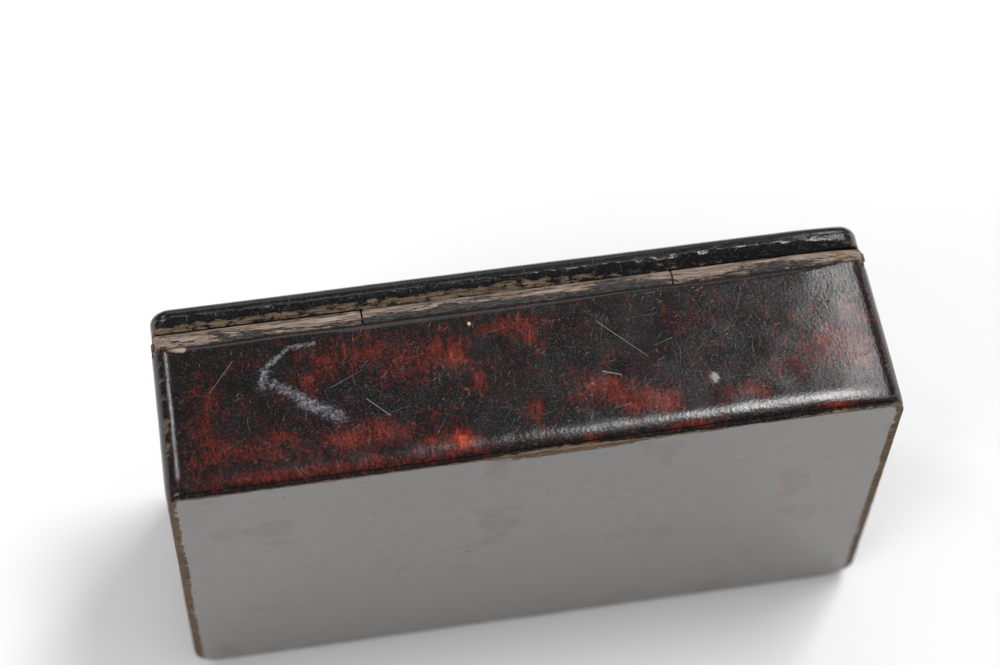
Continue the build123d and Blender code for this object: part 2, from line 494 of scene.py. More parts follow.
def paler_below_with_painted_reflection(g, colour, haze_and_reflection, red, mottle):
    """Paint what faces down paler, rubbed lengthwise, thinner over the red, with small pits. The paleness is
    partly rubbed wear and partly a painted reflection of the pale table that the bottom face sees.
    """
    veil_and_reflection = g.rise(g.parts(g.facing)[2], -0.97, -0.80, haze_and_reflection, 0.0)
    rubbed = g.cloud((2.6, 0.12, 0.12), detail=4.0, roughness=0.7, seed=53.0)
    bare_red = g.rise(g.plus(red, g.times(mottle, 1.2)), 0.75, 1.6, 0.0, 0.35)
    veil_and_reflection = g.times(veil_and_reflection, g.minus(g.rise(rubbed, 0.3, 0.7, 0.88, 1.10), bare_red))
    colour = g.mix(veil_and_reflection, colour, VEIL_AND_REFLECTION)
    pits = g.rise(g.cloud(0.55, detail=2.0, seed=57.0), 0.70, 0.76, 0.0, 0.7)
    return g.mix(pits, colour, PIT)


def marked(g, colour):
    """The marks of the hinge wall: chalk, a dried drop, a bald corner, a speck and long scratches."""
    crumbs = g.cloud(0.42, detail=6.0, roughness=0.85, seed=17.0)
    stroke = g.marks(CHALK_STROKES)
    chalk = g.plus(g.times(stroke, 0.42), g.times(crumbs, 1.5))
    chalk = g.times(g.rise(chalk, 1.00, 1.50, 0.0, 0.62), g.rise(stroke, 0.0, 0.6))
    colour = g.mix(chalk, colour, CHALK)
    drop = g.plus(g.times(g.marks((DRIED_DROP,)), 0.45), crumbs)
    colour = g.mix(g.rise(drop, 0.70, 0.90, 0.0, 0.75), colour, DROP_GREY)
    bald = g.mark((38.4, HALF_Y - 0.2, 18.55), (40.2, HALF_Y - 0.6, 18.6), 0.55, 0.5)
    colour = g.mix(g.times(bald, g.rise(crumbs, 0.30, 0.42)), colour, BALD_WOOD)
    speck = g.mark((5.6, HALF_Y, 17.1), (5.6, HALF_Y, 17.2), 0.28, 0.6)
    colour = g.mix(speck, colour, CREAM)
    cut = g.times(g.marks(LONG_SCRATCHES), g.rise(crumbs, 0.2, 0.6, 0.15, 0.6))
    return g.mix(cut, colour, SCRATCH_GREY), chalk


def lacquer(name, haze_and_reflection):
    """Red and black tortoiseshell lacquer: mottled, scratched all over and worn through at the edges."""
    g = Graph(name)
    red, wear = g.attribute("red"), g.attribute("wear")
    mottle = g.cloud(1.8, detail=6.0, roughness=0.72)
    colour = mottled(g, red, mottle)
    deep, scuff = scratches(g)
    colour = g.mix(g.times(scuff, 0.46), colour, GREY_SCUFF)
    # Only the base gets this: its down-facing bottom is painted paler, partly as a painted reflection of the
    # pale table.
    if haze_and_reflection:
        colour = paler_below_with_painted_reflection(g, colour, haze_and_reflection, red, mottle)
    colour, chalk = marked(g, colour)

    ragged = g.cloud((1.4, 0.8, 0.45), detail=5.0, roughness=0.7, seed=8.0)
    bare = g.rise(g.plus(wear, g.spread(ragged, 1.9)), 0.52, 0.66)
    grain = g.cloud((3.5, 0.25, 0.25), detail=4.0, roughness=0.7, seed=14.0)
    wood = g.mix(g.rise(grain, 0.35, 0.65), BARE_OLIVE, BARE_BROWN)
    wood = g.mix(g.rise(g.cloud(0.3, seed=19.0), 0.55, 0.75), wood, GRIME)
    colour = g.mix(bare, colour, wood)

    rough = g.rise(g.cloud(3.0, seed=27.0), 0.2, 0.8, 0.15, 0.24)
    towards_end = g.plus(g.parts(g.place)[0], g.times(mottle, 9.0))
    crazed = g.rise(towards_end, -0.90 * HALF_X, -0.66 * HALF_X, 0.04, 0.0)
    rough = g.plus(g.plus(rough, crazed), g.times(scuff, 0.10))
    rough = g.most(g.most(rough, g.times(chalk, 0.8)), g.times(bare, 0.85))
    height = g.plus(g.times(deep, -0.3), g.times(g.cloud(0.35, seed=3.0), 0.8))
    wrinkle = g.times(g.cloud((0.26, 0.26, 1.6), detail=4.0, seed=43.0, warp=0.4), crazed)
    height = g.plus(height, g.times(wrinkle, 50.0))
    height = g.plus(height, g.times(bare, g.minus(grain, 2.2)))
    shine = g.rise(bare, 0.0, 1.0, 0.5, 0.15)
    return g.finish(Base_Color=colour, Roughness=rough, Normal=g.bump(height, 0.03), IOR=1.5,
                    Specular_IOR_Level=shine)


def worn_wood(name):
    """Bare hinge wood, worn brown along its grain, with dark remains of lacquer and painted shade on the
    underside of the barrels.
    """
    g = Graph(name)
    grain = g.cloud((4.0, 0.14, 0.14), detail=5.0, roughness=0.7)
    patch = g.cloud((3.2, 0.45, 0.45), detail=6.0, roughness=0.75, seed=6.0)
    fleck = g.cloud((0.9, 0.12, 0.12), detail=4.0, roughness=0.75, seed=12.0)
    colour = g.mix(g.rise(grain, 0.40, 0.58), (0.11, 0.083, 0.066), (0.38, 0.295, 0.235))
    orange = g.rise(g.cloud((2.2, 0.3, 0.3), detail=4.0, seed=33.0), 0.52, 0.66)
    colour = g.mix(g.times(orange, 0.5), colour, (0.24, 0.125, 0.068))
    dark = g.plus(g.times(patch, 0.6), g.times(fleck, 0.4))
    dark = g.rise(g.minus(g.attribute("dark"), dark), -0.48, -0.43)
    remains = g.mix(g.rise(fleck, 0.40, 0.62), (0.014, 0.013, 0.014), (0.080, 0.074, 0.073))
    colour = g.mix(dark, colour, remains)
    rough = g.rise(dark, 0.0, 1.0, 0.75, 0.42)
    height = g.plus(grain, g.times(fleck, 0.8))
    height = g.plus(height, g.times(dark, 0.5))
    return g.finish(Base_Color=colour, Roughness=rough, Normal=g.bump(height, 0.16), IOR=1.35)


def black_lining(name):
    """Matt black inside lacquer, brushed on and rubbed by the cloth."""
    g = Graph(name)
    brush = g.cloud((6.0, 0.5, 0.5))
    rub = g.rise(g.cloud(2.5, detail=4.0, seed=4.0), 0.5, 0.8)
    colour = g.mix(rub, (0.010, 0.009, 0.009), (0.045, 0.036, 0.030))
    dust = g.rise(g.cloud(0.35, detail=2.0, seed=9.0), 0.66, 0.76)
    colour = g.mix(g.times(dust, 0.5), colour, (0.45, 0.36, 0.24))
    rough = g.rise(brush, 0.3, 0.7, 0.42, 0.60)
    return g.finish(Base_Color=colour, Roughness=rough, Normal=g.bump(brush, 0.05), IOR=1.5)


def brass_wire(name):
    """Dull drawn brass with die lines along the wire."""
    g = Graph(name)
    lines = g.cloud((8.0, 0.08, 0.08), detail=2.0)
    tarnish = g.rise(g.cloud(0.8, seed=5.0), 0.4, 0.7)
    colour = g.mix(tarnish, (0.80, 0.58, 0.24), (0.30, 0.19, 0.08))
    rough = g.rise(tarnish, 0.0, 1.0, 0.25, 0.5)
    return g.finish(Base_Color=colour, Metallic=1.0, Roughness=rough, Normal=g.bump(lines, 0.01))


def dark_filler(name):
    """Lacquer filler over the ends of the wire."""
    g = Graph(name)
    lump = g.cloud(0.3)
    colour = g.mix(g.rise(lump, 0.4, 0.7), (0.014, 0.011, 0.010), (0.075, 0.045, 0.030))
    return g.finish(Base_Color=colour, Roughness=0.55, Normal=g.bump(lump, 0.05))


def rosin(name):
    """Dark amber rosin, glassy inside, dusty on top and in the bow groove."""
    g = Graph(name)
    depth = g.cloud(9.0)
    colour = g.mix(g.rise(depth, 0.3, 0.7), (0.20, 0.038, 0.004), (0.42, 0.105, 0.014))
    split = g.parts(g.place)
    turn = g.parts(g.facing)[2]
    bow = g.cloud((0.25, 6.0, 2.0), detail=4.0, roughness=0.7, seed=5.0)
    powder = g.cloud(0.5, detail=5.0, roughness=0.75, seed=9.0)
    from_groove = g.math("ABSOLUTE", g.minus(split[1], CAKE_MIDDLE.y))
    groove = g.times(g.rise(from_groove, 2.0, 6.5, 0.42, 0.12), g.rise(turn, 0.5, 0.9))
    dust = g.plus(groove, g.spread(powder, 1.6))
    dust = g.plus(dust, g.spread(bow, 0.8))
    dust = g.rise(dust, 0.12, 0.80, 0.0, 0.75)
    colour = g.mix(dust, colour, (0.74, 0.55, 0.32))
    rough = g.rise(dust, 0.0, 1.0, 0.10, 0.85)
    glass = g.rise(dust, 0.0, 0.8, 0.30, 0.0)
    height = g.plus(g.times(bow, 0.6), g.times(powder, 0.5))
    g.shader.subsurface_method = "RANDOM_WALK"
    return g.finish(Base_Color=colour, Roughness=rough, Normal=g.bump(height, 0.06), IOR=1.54,
                    Subsurface_Weight=0.8, Subsurface_Radius=(0.006, 0.0022, 0.0006),
                    Subsurface_Scale=1.0, Transmission_Weight=glass)


def flannel(name):
    """Dark green wool flannel with a fine weave, nap and rosin dust."""
    g = Graph(name)
    wave_inputs = {"Vector": g.place, "Scale": 2.2, "Distortion": 0.6, "Detail": 1.0}
    threads = [g.add("ShaderNodeTexWave", wave_inputs, bands_direction=way).outputs["Fac"] for way in "XY"]
    weave = g.times(*threads)
    nap = g.cloud(0.12, roughness=0.7)
    fade = g.cloud(7.0, seed=3.0)
    colour = g.mix(g.rise(fade, 0.3, 0.7), (0.020, 0.050, 0.030), (0.045, 0.085, 0.050))
    colour = g.mix(g.times(nap, 0.5), colour, (0.10, 0.13, 0.09))
    dust = g.rise(g.cloud(0.45, detail=5.0, roughness=0.75, seed=8.0), 0.55, 0.72, 0.0, 0.6)
    colour = g.mix(dust, colour, (0.62, 0.54, 0.38))
    height = g.plus(g.times(weave, 0.7), nap)
    return g.finish(Base_Color=colour, Roughness=0.95, Normal=g.bump(height, 0.12), IOR=1.4,
                    Sheen_Weight=0.5, Sheen_Roughness=0.5)


lacquer_material = lacquer("tortoiseshell_lacquer", 0.0)
# 0.66 sets how much paler the down-facing bottom is painted, partly as a painted reflection of the table.
base_material = lacquer("tortoiseshell_lacquer_base", 0.66)
wood_material = worn_wood("worn_hinge_wood")
lining_material = black_lining("black_lining")
brass_material = brass_wire("brass_wire")
filler_material = dark_filler("dark_filler")
rosin_material = rosin("amber_rosin")
cloth_material = flannel("wool_flannel")


# Body and base
def hand_made(points, outward):
    """Move outer points a little along their outward direction, as a hand-made box is never true."""
    bow = 0.07 * wave(points, 16.0, 4.0) + 0.026 * wave(points, 3.0, 9.0)
    return points + outward * bow[..., None]


END_FLARE = 0.007  # the ends spread this share of the length from the top of the walls to the bottom
END_FILL = 0.012  # and are fuller at the foot than the long sides


def flared(points):
    """Spread the ends of the body towards the bottom."""
    drop = 1 - points[..., 2] / WALL_TOP
    foot = np.clip(FOOT_HEIGHT - points[..., 2], 0, None) / FOOT_HEIGHT
    spread = points.copy()
    spread[..., 0] *= 1 + END_FLARE * drop + END_FILL * foot ** 2
    return spread


def plan_outward(loop):
    """Unit outward direction, level, at each point of a plan loop."""
    along = np.roll(loop, -1, 0) - np.roll(loop, 1, 0)
    outward = np.stack([along[:, 1], -along[:, 0]], 1)
    return at_height(outward / np.linalg.norm(outward, axis=1)[:, None], 0.0)


def foot_inset(z):
    """How far the foot of the walls curves in at a height."""
    return FOOT_INSET * (max(FOOT_HEIGHT - z, 0.0) / FOOT_HEIGHT) ** FOOT_POWER


def round_drop(radius, inset):
    """How far a rounded edge falls away at a distance in from its outside."""
    return radius - math.sqrt(radius ** 2 - max(radius - inset, 0.0) ** 2)


def wall_top(loop, inset):
    """Height of the top of the body's walls: a level rim, troughs for the knuckles and the shoulder."""
    x, y = loop[:, 0], loop[:, 1]
    rim = WALL_TOP - round_drop(0.45, inset)
    away = y - AXIS_Y
    middle = smooth_step(BREAK_LOW - 0.3, BREAK_LOW, x) * (1 - smooth_step(BREAK_HIGH, BREAK_HIGH + 0.3, x))
    radius = KNUCKLE + 0.03 + 0.12 * middle
    inside = np.abs(away) < radius
    trough = np.where(inside, AXIS_Z - np.sqrt(np.maximum(radius ** 2 - away ** 2, 0)), 99.0)
    past = np.clip(y - (HALF_Y - SHOULDER_RADIUS), 0, SHOULDER_RADIUS)
    level = SHOULDER_Z + 0.16 * wave(at_height(loop, SHOULDER_Z), 9.0, 2.0)
    shoulder = np.where(past > 0, level + np.sqrt(SHOULDER_RADIUS ** 2 - past ** 2), 99.0)
    return np.minimum(np.minimum(rim, trough), shoulder)


def body_loop(inset):
    loop = plan_loop(HALF_X, HALF_Y, CORNERS, inset)
    loop[:, 1] -= eased(loop[:, 0], loop[:, 1]) * max(0.0, 1 - inset / WALL)
    return loop


SEAM = 0.04  # between the walls and the base board


def wall_grid():
    """Grid of the four walls' points: up the outside, over the top and down the inside."""
    outer = body_loop(0.0)
    outward = plan_outward(outer)
    outer_top = wall_top(outer, 0.0)
    loops = []
    for share in np.concatenate([np.linspace(0, 0.09, 9)[:-1], np.linspace(0.09, 1, 62)]):
        z = RIM + SEAM + share * (outer_top - RIM - SEAM)
        low = float(z.mean())
        seam = 0.10 * max(0.0, 1 - (low - RIM) / 0.16) ** 2
        plan = body_loop(foot_inset(low) + seam)
        loops.append(flared(hand_made(at_height(plan, z), outward)))
    for inset in WALL * np.linspace(0, 1, 29)[1:] ** 1.6:
        plan = body_loop(inset)
        loops.append(at_height(plan, wall_top(plan, inset)))
    inner = body_loop(WALL)
    inner_top = wall_top(inner, WALL)
    for share in np.linspace(0, 1, 12)[1:]:
        loops.append(at_height(inner, inner_top + share * (RIM + SEAM - inner_top)))
    return np.array(loops)


def wall_piece(grid, side, name):
    """One wall, cut out of the grid at the mitres, with its two mitre faces closed."""
    columns = np.arange(SIDE_STARTS[side], SIDE_STARTS[side + 1] + 1) % grid.shape[1]
    part = grid[:, columns]
    rows, width = part.shape[:2]
    faces = grid_faces(rows, width, True, False)
    faces.append([r * width for r in range(rows)])
    faces.append([r * width + width - 1 for r in reversed(range(rows))])
    return add_board(name, part.reshape(-1, 3), faces, "box", name, lacquer_material)


def base_piece():
    """Base board: curved edge below the seam, worn arris, flat bottom, and the floor inside the walls."""
    outward = plan_outward(body_loop(0.0))
    last_inset = HALF_Y - 0.6
    profile = [(last_inset, FLOOR), (HALF_Y * 0.5, FLOOR), (WALL + 0.4, FLOOR), (WALL + 0.05, FLOOR),
               (WALL + 0.05, RIM - 0.03), (1.2, RIM - 0.03), (foot_inset(RIM) + 0.12, RIM - 0.03),
               (foot_inset(RIM) + 0.03, RIM - 0.07)]
    profile += [(foot_inset(z), z) for z in np.linspace(RIM - 0.14, 0.10, 7)]
    profile += [(foot_inset(0.03) + 0.02, 0.03), (foot_inset(0.0) + 0.12, 0.0)]
    profile += [(inset, 0.0) for inset in np.linspace(foot_inset(0.0) + 0.35, 4.5, 18)]
    profile += [(inset, 0.0) for inset in np.linspace(5.2, last_inset, 28)]
    loops = []
    for inset, z in profile:
        points = at_height(body_loop(inset), z)
        if z < RIM and inset < 1.3:
            points = hand_made(points, outward)
        loops.append(flared(points) if z < RIM else points)
    grid = np.array(loops)
    bottom = np.arange(8, len(profile))
    dents = 0.05 * wave(grid[bottom], 14.0, 6.0) - 0.012 * np.abs(wave(grid[bottom], 1.5, 3.0))
    grid[bottom, :, 2] = np.maximum(grid[bottom, :, 2] + dents.clip(-0.02, 1) * 0.8, 0.0)
    return add_board("base_board", *closed_rings(grid), "box", "base_panel", base_material)


# Lid
LID_EDGE_RADIUS = 1.2


def lid_underside(plan, inset):
    """Height of the lid's underside: level, hollowed over the knuckles and bevelled behind them."""
    x, y = plan[:, 0], plan[:, 1]
    middle = (x > BREAK_LOW) & (x < BREAK_HIGH)
    radius = np.where(middle, KNUCKLE + 0.01, KNUCKLE + 0.12)
    away = y - AXIS_Y
    hollow = AXIS_Z + np.sqrt(np.maximum(radius ** 2 - away ** 2, 0))
    points = at_height(plan, 0.0)
    flake = 0.10 * wave(points, (2.6, 0.5, 1.0), 5.0) + 0.06 * wave(points, (0.8, 0.25, 1.0), 8.0)
    bevel = BEVEL_START[1] + BEVEL_SLOPE * (y - BEVEL_START[0]) + np.where(y > FLAKE_START, np.abs(flake), 0)
    level = np.where(y > BEVEL_START[0], np.maximum(bevel, LID_LOW), np.maximum(hollow, LID_LOW))
    return level + round_drop(0.22, inset)


def ridge(points):
    """How far an uneven ridge of lacquer stands out along the lid's edge over the hinge."""
    level = 22.85 + 0.10 * wave(points, (12.0, 12.0, 50.0), 83.0)
    lumps = 0.5 + 0.8 * wave(points, (1.3, 1.3, 0.5), 85.0) + 0.5 * wave(points, (0.5, 0.5, 0.3), 87.0)
    at_hinge = points[:, 1] > AXIS_Y + 0.6
    return 0.13 * np.clip(lumps, 0, 1.5) * np.exp(-((points[:, 2] - level) / 0.2) ** 2) * at_hinge


def lid_piece():
    """The lid board as one closed skin."""
    last_inset = LID_Y - 0.6
    loops = []

    def plan_at(inset):
        plan = plan_loop(LID_X, LID_Y, CORNERS, inset)
        plan[:, 1] -= eased(plan[:, 0], plan[:, 1])
        return plan

    for inset in np.concatenate([np.linspace(last_inset, 3.4, 20), np.linspace(3.2, 0.0, 42)]):
        plan = plan_at(inset)
        loops.append(at_height(plan, lid_underside(plan, inset)))
    rim = plan_at(0.0)
    outward = plan_outward(rim)
    low = lid_underside(rim, 0.0)
    high = LID_TOP - LID_EDGE_RADIUS
    for share in np.linspace(0, 1, 22)[1:]:
        side = hand_made(at_height(rim, low + share * (high - low)), outward)
        loops.append(side + outward * ridge(side)[:, None])
    for turn in np.linspace(0, math.pi / 2, 12)[1:]:
        inset = LID_EDGE_RADIUS * (1 - math.cos(turn))
        z = high + LID_EDGE_RADIUS * math.sin(turn)
        loops.append(hand_made(at_height(plan_at(inset), z), outward))
    for inset in np.concatenate([np.linspace(1.5, 5, 10), np.linspace(5.8, last_inset, 26)]):
        points = at_height(plan_at(inset), LID_TOP)
        points[:, 2] -= 0.05 * np.abs(wave(points, 18.0, 3.0))
        loops.append(points)
    return add_board("lid_board", *closed_rings(np.array(loops)), "lid", "lid_panel", lacquer_material)


# Hinge
def body_end(y, side):
    """Where the body's plan ends along X at a place across it."""
    radius = CORNERS[2] if side > 0 else CORNERS[3]
    past = np.clip(y - (HALF_Y - radius), 0, radius)
    return side * (HALF_X - 0.2 - radius + np.sqrt(radius ** 2 - past ** 2))


def barrel(x_from, x_to, bore, follow_side=0):
    """Grid of a knuckle's barrel: worn outside with grain along it, end faces and bore."""
    turns, steps = 72, 120
    angle = np.linspace(0, 2 * math.pi, turns, endpoint=False)

    def ring(share, radius):
        y = AXIS_Y + radius * np.cos(angle)
        last = body_end(y, follow_side) if follow_side else x_to
        return np.stack([x_from + share * (last - x_from) + 0 * y, y, AXIS_Z + radius * np.sin(angle)], 1)

    loops = []
    for share in np.concatenate([[0, 0.0015, 0.004], np.linspace(0.008, 0.992, steps), [0.996, 0.9985, 1]]):
        end_round = 0.08 * max(0, 1 - min(share, 1 - share) / 0.004) ** 2
        points = ring(share, KNUCKLE)
        worn = 0.035 * wave(points, (7.0, 0.45, 0.45), 1.0) + 0.02 * wave(points, (1.5, 0.2, 0.2), 7.0)
        radius = KNUCKLE - 0.02 - np.abs(worn) - end_round
        points[:, 1] = AXIS_Y + radius * np.cos(angle)
        points[:, 1] -= eased(points[:, 0], points[:, 1])
        points[:, 2] = AXIS_Z + radius * np.sin(angle)
        loops.append(points)
    loops += [ring(*place) for place in ((1, 0.75), (1, bore), (0.5, bore), (0, bore), (0, 0.75))]
    return np.array(loops).reshape(-1, 3), grid_faces(len(loops), turns, True, True)


def tongue(x_low, x_high, y_low, y_high, z_low, z_high):
    """A strip of wood with eased long edges, as points and faces."""
    ease = 0.15
    y, z = (y_low + y_high) / 2, (z_low + z_high) / 2
    half_y, half_z = y_high - y, z_high - z
    side, upright = half_y - ease, half_z - ease
    section = [(-side, -half_z), (side, -half_z), (half_y, -upright), (half_y, upright),
               (side, half_z), (-side, half_z), (-half_y, upright), (-half_y, -upright)]
    stations = np.linspace(x_low, x_high, 40)
    return closed_rings(np.array([[(x, y + across, z + up) for across, up in section] for x in stations]))


def knuckle_piece(node, body, barrel_shape, tongue_shape):
    """A knuckle: its barrel joined to the tongue that is glued to the box."""
    piece = add_piece(node + "_worn", *barrel_shape, body, [node], "worn_hinge_wood", wood_material)
    strip = place_object("strip", mesh_of("strip", *tongue_shape))
    join = piece.modifiers.new("join", "BOOLEAN")
    join.operation, join.object, join.solver = "UNION", strip, "EXACT"
    bake(piece)
    bpy.data.objects.remove(strip)
    points = point_array(piece)
    dark = -0.01 + 0.10 * wave(points, (9.0, 3.0, 1.0), 13.0)
    # Painted shade: the underside of each barrel, down in the wall's trough, is painted darker, more on the
    # lid's knuckle.
    under = 1 - smooth_step(AXIS_Z - 0.5, AXIS_Z + 0.3, points[:, 2])
    dark = dark + under * (0.13 if body == "lid" else 0.04)
    dark = dark + 0.5 * smooth_step(AXIS_Y - 0.2, AXIS_Y - 0.9, points[:, 1])
    paint(piece, "dark", dark)
    piece.data.shade_smooth()
    sharpen(piece, 45)


def hinge_pieces():
    for node, side in (("body_knuckle_left", -1), ("body_knuckle_right", 1)):
        low, high = node_box(node)
        near = high.x if side < 0 else low.x
        ends = sorted((near, side * (HALF_X - WALL - 0.05)))
        strip = tongue(*ends, low.y, AXIS_Y - 0.65, low.z, AXIS_Z)
        knuckle_piece(node, "box", barrel(near, 0.0, PIN, side), strip)
    low, high = node_box("lid_knuckle")
    strip = tongue(low.x, high.x, low.y, AXIS_Y - 0.4, low.z, LID_LOW - 0.01)
    knuckle_piece("lid_knuckle", "lid", barrel(low.x, high.x, PIN + 0.05), strip)


# Colour and wear painted on the lacquered boards
# Red patches of the hinge wall: x, z, half width, half height, strength
RED_PATCHES = (
    (13.0, 13.5, 4.5, 2.6, 0.65), (8.5, 14.5, 2.5, 2.0, 0.5), (20.5, 15.5, 5.0, 1.8, 0.6),
    (24.5, 12.5, 2.5, 1.6, 0.5), (5.8, 9.6, 1.0, 1.8, 0.7), (7.5, 12.5, 1.2, 1.4, 0.5),
    (1.0, 16.4, 3.6, 1.2, 0.8), (-1.2, 14.2, 1.3, 1.6, 0.8), (-2.6, 13.2, 0.8, 0.6, 0.5),
    (8.4, 2.6, 1.5, 1.3, 1.5), (11.5, 2.9, 2.0, 1.0, 0.7), (17.0, 4.6, 4.5, 1.7, 0.9),
    (21.5, 4.4, 2.0, 1.4, 0.6), (31.0, 4.8, 7.0, 2.4, 0.55), (36.0, 12.5, 2.0, 3.4, 0.40),
    (24.0, 1.2, 15.0, 0.8, 0.75), (-7.0, 7.6, 2.4, 1.8, 0.5), (-9.0, 6.0, 3.2, 2.0, 0.6),
    (-13.0, 4.4, 3.4, 1.8, 0.85), (-15.6, 3.8, 1.2, 1.4, 0.6), (-0.4, 4.6, 1.1, 2.6, 0.65),
    (-9.2, 10.6, 0.9, 1.6, 0.4), (-24.8, 4.2, 2.6, 1.3, 0.8), (-34.0, 8.5, 4.0, 3.4, 0.60),
    (-38.5, 10.0, 2.6, 5.0, 0.50), (-38.0, 6.5, 1.6, 1.2, 0.5), (-30.0, 6.8, 2.4, 1.2, 0.4),
    (-19.0, 14.0, 2.4, 2.4, 0.22), (-17.5, 0.9, 3.0, 0.5, 0.8), (-34.5, 0.9, 2.4, 0.5, 0.9),
    (-5.8, 1.1, 1.3, 0.5, 0.7), (37.0, 6.0, 2.0, 4.0, 0.3),
)


def paint_red(piece, quiet=1.0):
    """Where the red shows: placed patches on the hinge wall, clouds of it elsewhere."""
    points = point_array(piece)
    x, y, z = points.T
    placed = np.zeros(len(points))
    for px, pz, wide, tall, strength in RED_PATCHES:
        placed += strength * np.exp(-((x - px) / wide) ** 2 - ((z - pz) / tall) ** 2)
    cloud = 0.9 * wave(points, 9.0, 21.0) + 0.5 * wave(points, 3.6, 31.0)
    cloud = smooth_step(0.05, 0.65, cloud) * 0.85
    on_hinge_wall = smooth_step(HALF_Y - 2.0, HALF_Y - 0.9, y) * (1 - smooth_step(18.5, 20.0, z))
    cloud = cloud - 2.0 * smooth_step(AXIS_Y - 1.5, AXIS_Y, y) * smooth_step(WALL_TOP, LID_LOW + 0.1, z)
    amount = (on_hinge_wall * placed + (1 - on_hinge_wall) * cloud) * quiet
    lined = (np.abs(x) < HALF_X - WALL + 0.2) & (np.abs(y) < HALF_Y - WALL + 0.2)
    lined &= (z > RIM + 0.2) & (z < LID_LOW + 1.5)
    paint(piece, "red", np.where(lined, -2.0, amount))


def paint_body_wear(piece):
    """Bare wood along the bottom arris, at the seam, at the worn corner and in the chips."""
    points = point_array(piece)
    x, y, z = points.T
    rag = wave(points, (5.0, 5.0, 2.0), 41.0)
    end = HALF_X - np.abs(x)
    to_edge = np.minimum(end, HALF_Y - np.abs(y))
    band = 0.13 + 0.30 * smooth_step(-27.0, -36.0, x)
    arris = 0.85 * np.exp(-(z / band) ** 2) * (1 - smooth_step(0.85, 1.15, to_edge - 0.2 * rag))
    seam = 0.16 * np.exp(-((z - RIM) / 0.07) ** 2)
    corner = np.minimum(np.abs(x) - (HALF_X - 2.0), np.abs(y) - (HALF_Y - 2.0))
    upright = 0.66 * smooth_step(0.2, 1.1, corner) * smooth_step(-0.6, 0.2, rag)
    chip = 0.95 * np.exp(-((x + 2.0) / 9.0) ** 4 - (z / (0.50 + 0.30 * rag)) ** 2) * (y > HALF_Y - 1.9)
    edge_rag = wave(points, (3.0, 2.4, 2.4), 71.0)
    worn_end = 0.70 * (1 - smooth_step(0.1, 0.7, end + 0.5 * edge_rag)) * (z < 0.3)
    wear = arris + seam + upright + chip + worn_end + 0.10 * rag - 0.14
    inside = (np.abs(x) < HALF_X - WALL + 0.3) & (np.abs(y) < HALF_Y - WALL + 0.3) & (z > RIM + 0.2)
    paint(piece, "wear", np.where(inside, 0.0, wear))


def paint_lid_wear(piece):
    """Bare wood on the bevel over the hinge, and a little along the lid's edges."""
    points = point_array(piece)
    x, y, z = points.T
    rag = wave(points, (6.0, 2.0, 0.9), 51.0)
    bevel = smooth_step(AXIS_Y + 0.2, AXIS_Y + 0.7, y) * (1 - smooth_step(22.0, 22.6, z + 0.35 * rag))
    bevel = bevel * (0.75 + 0.45 * smooth_step(-16.0, -4.0, x))
    low_edge = 0.45 * np.exp(-((z - LID_LOW) / 0.3) ** 2) * smooth_step(1.0, 0.2, LID_X - np.abs(x))
    top_edge = 0.26 * smooth_step(LID_TOP - 1.5, LID_TOP - 0.3, z)
    to_edge = np.minimum(LID_X - np.abs(x), LID_Y - np.abs(y))
    top_edge = top_edge * (1 - smooth_step(0.3, 1.6, to_edge))
    paint(piece, "wear", 0.62 * bevel + low_edge + top_edge + 0.12 * rag - 0.08)


# Contents: the rosin and the cloth it lies in
GROOVE_RADIUS, GROOVE_DEPTH = 11.0, 1.2
CONTENT_STEPS = (90, 46, 90, 46)
CLOTH_CLEARANCE = 0.12


def cake_shape():
    """Rings of the cake, from the middle of its bottom to the middle of its bow-worn top."""
    edge, inner = 0.8, CAKE_HALF.y - 0.5
    low, high = CAKE_LOW.z, CAKE_HIGH.z
    quarter = np.linspace(0, math.pi / 2, 7)
    profile = [(inset, low) for inset in np.linspace(inner, 1.0, 12)]
    profile += [(edge * (1 - math.sin(t)), low + edge * (1 - math.cos(t))) for t in quarter]
    profile += [(0.0, z) for z in np.linspace(low + edge, high - edge, 22)[1:-1]]
    profile += [(edge * (1 - math.cos(t)), high - edge * (1 - math.sin(t))) for t in quarter]
    profile += [(inset, high) for inset in np.linspace(1.0, inner, 46)]
    plans = [plan_loop(CAKE_HALF.x, CAKE_HALF.y, (2.5,) * 4, inset, CONTENT_STEPS) for inset, z in profile]
    grid = np.array([at_height(plan + (0, CAKE_MIDDLE.y), z) for plan, (inset, z) in zip(plans, profile)])
    away = grid[..., 1] - CAKE_MIDDLE.y
    groove = high - GROOVE_DEPTH + GROOVE_RADIUS - np.sqrt(GROOVE_RADIUS ** 2 - np.clip(away, -9, 9) ** 2)
    groove += 0.10 * wave(grid, (12.0, 1.6, 5.0), 3.0)
    blend = 0.25
    top = grid[..., 2]
    softened = 0.5 * (top + groove - np.sqrt((top - groove) ** 2 + blend ** 2))
    on_top = top > high - 1.6
    grid[..., 2] = np.where(on_top, np.minimum(top, softened + 0.02), top)
    return grid


CHIPS = 34
LOWEST_CHIP = 9.5


